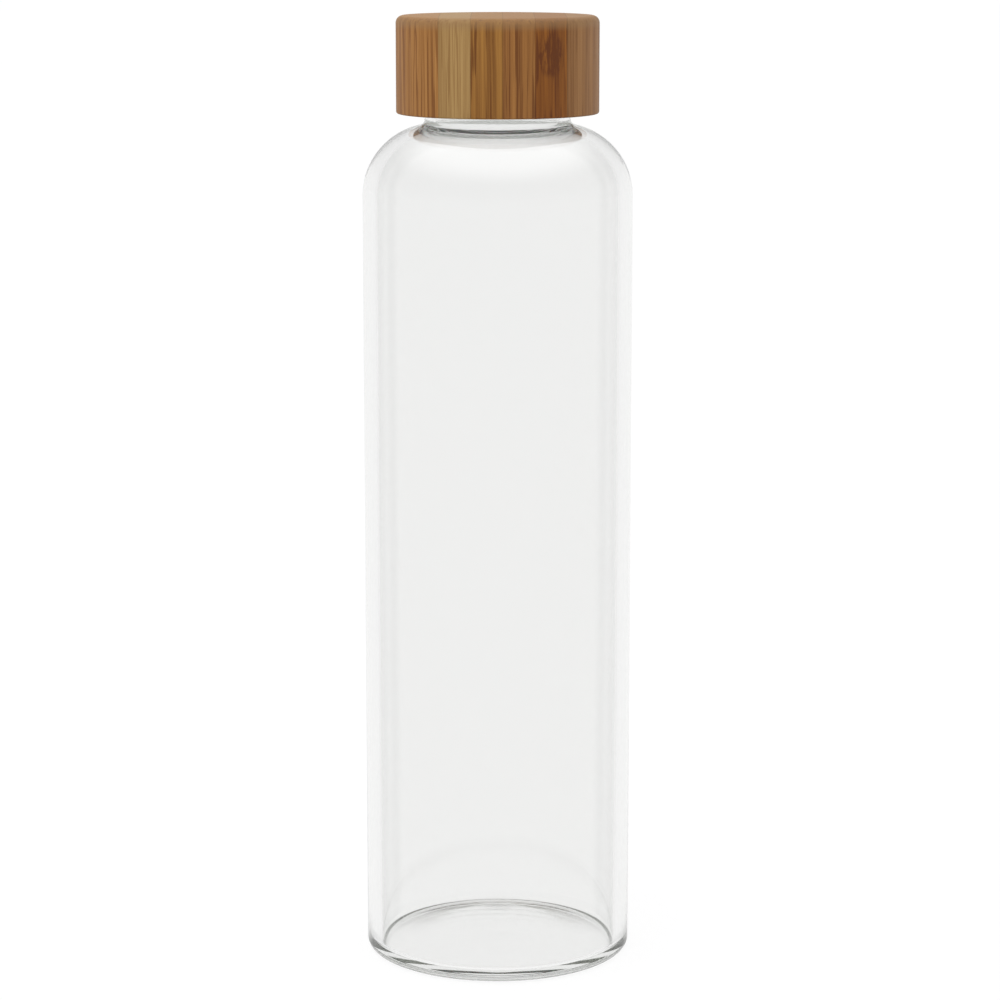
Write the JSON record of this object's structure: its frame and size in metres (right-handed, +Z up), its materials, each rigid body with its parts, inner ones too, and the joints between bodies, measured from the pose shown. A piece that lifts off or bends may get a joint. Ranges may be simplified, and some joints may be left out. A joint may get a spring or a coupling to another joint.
{
  "type": "glass water bottle",
  "caption": "Straight-sided clear glass water bottle with a round shoulder and a threaded neck, closed by a round bamboo screw cap with a plastic liner and a silicone seal.",
  "frame": {"origin": "centre of the standing ring, on the surface that the bottle stands on", "axes": "+Z up along the bottle's axis, +X to the right and +Y to the back; the cap's rows of strips lie side by side along X"},
  "size_m": [0.065, 0.065, 0.23],
  "materials": {
    "clear_glass": "clear, polished",
    "silicone": "translucent white, matt",
    "white_plastic": "moulded, satin",
    "bamboo": "carbonised strips, oiled, vertical grain"
  },
  "bodies": {
    "bottle": {"glass_body": "clear_glass", "glass_shoulder": "clear_glass", "glass_neck": "clear_glass"},
    "seal": {"seal_ring": "silicone"},
    "cap": {"cap_liner": "white_plastic", "bamboo_strip_1_front": "bamboo", "bamboo_strip_1_back": "bamboo", "bamboo_strip_2_front": "bamboo", "bamboo_strip_2_back": "bamboo", "bamboo_strip_3_front": "bamboo", "bamboo_strip_3_back": "bamboo", "bamboo_strip_4_front": "bamboo", "bamboo_strip_4_back": "bamboo", "bamboo_strip_5_front": "bamboo", "bamboo_strip_5_back": "bamboo", "bamboo_strip_6_front": "bamboo", "bamboo_strip_6_back": "bamboo"}
  },
  "joints": [
    {"name": "cap_rise", "type": "slide", "parent": "bottle", "child": "seal", "axis": [0, 0, 1], "range_m": [0, 0.00636]},
    {"name": "cap_unscrew", "type": "hinge", "parent": "seal", "child": "cap", "pos_m": [0, 0, 0.215], "axis": [0, 0, 1], "range_deg": [0, 540]}
  ],
  "couplings": [
    {"joint": "cap_rise", "follows": "cap_unscrew", "m_per_rad": 0.00067376}
  ]
}
